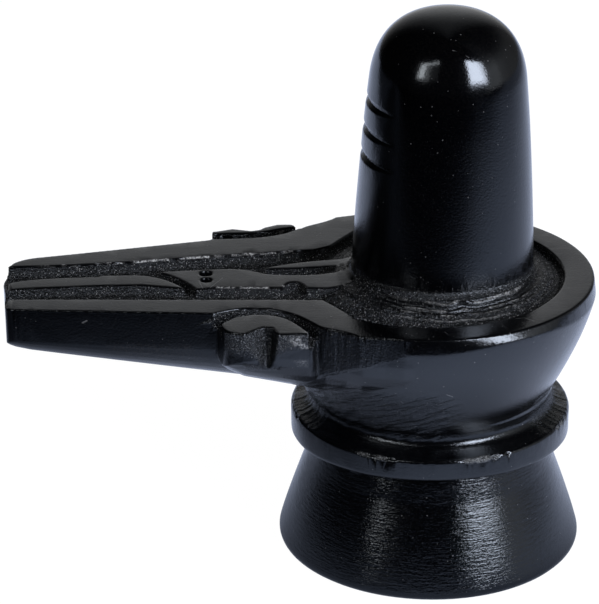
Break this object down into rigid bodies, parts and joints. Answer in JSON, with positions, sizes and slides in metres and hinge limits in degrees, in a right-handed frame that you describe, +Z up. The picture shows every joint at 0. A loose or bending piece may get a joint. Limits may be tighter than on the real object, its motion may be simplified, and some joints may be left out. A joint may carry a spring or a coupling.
{
  "type": "shiva lingam",
  "caption": "Domed black stone lingam for home worship, rising from a bowl-shaped pedestal with a long open water spout, a serpent relief, fluted side lugs and a flared foot.",
  "frame": {"origin": "middle of the foot's flat underside, on the surface that the stone rests on", "axes": "+Z up through the lingam; the spout points along -X; +Y completes the right-handed frame"},
  "size_m": [0.1327, 0.0758, 0.1275],
  "materials": {
    "stone": "hand polished, with pecked and chiselled hollows"
  },
  "bodies": {
    "root": {"lingam_stone": "stone"}
  },
  "joints": []
}
